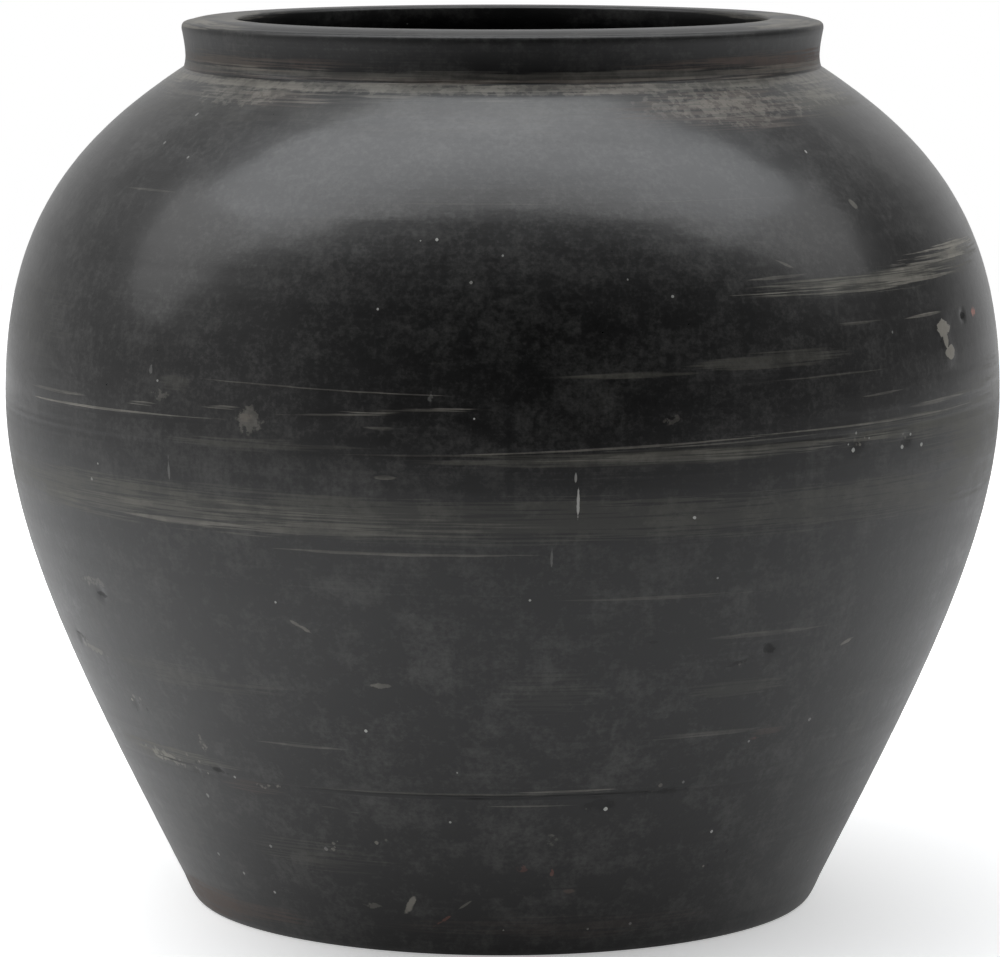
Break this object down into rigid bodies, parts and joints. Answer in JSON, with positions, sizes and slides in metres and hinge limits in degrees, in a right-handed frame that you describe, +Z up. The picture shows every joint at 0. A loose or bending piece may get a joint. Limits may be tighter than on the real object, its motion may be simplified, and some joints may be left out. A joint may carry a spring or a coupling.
{
  "type": "storage jar",
  "caption": "Large black clay jar with a narrow foot, a wide round belly, a closed-in shoulder and a thick rolled rim around an open mouth.",
  "frame": {"origin": "centre of the flat underside, on the surface that the jar stands on", "axes": "+Z up along the axis that the jar is turned about; the shape is the same all round, and -Y is the side whose wear marks the looks copy"},
  "size_m": [0.4, 0.4, 0.355],
  "materials": {
    "smoked_clay": "matte",
    "burnished_clay": "satin",
    "rim_clay": "satin"
  },
  "bodies": {
    "root": {"floor_slab": "smoked_clay", "foot_wall": "smoked_clay", "belly_wall": "smoked_clay", "shoulder_wall": "burnished_clay", "rim_collar": "rim_clay"}
  },
  "joints": []
}
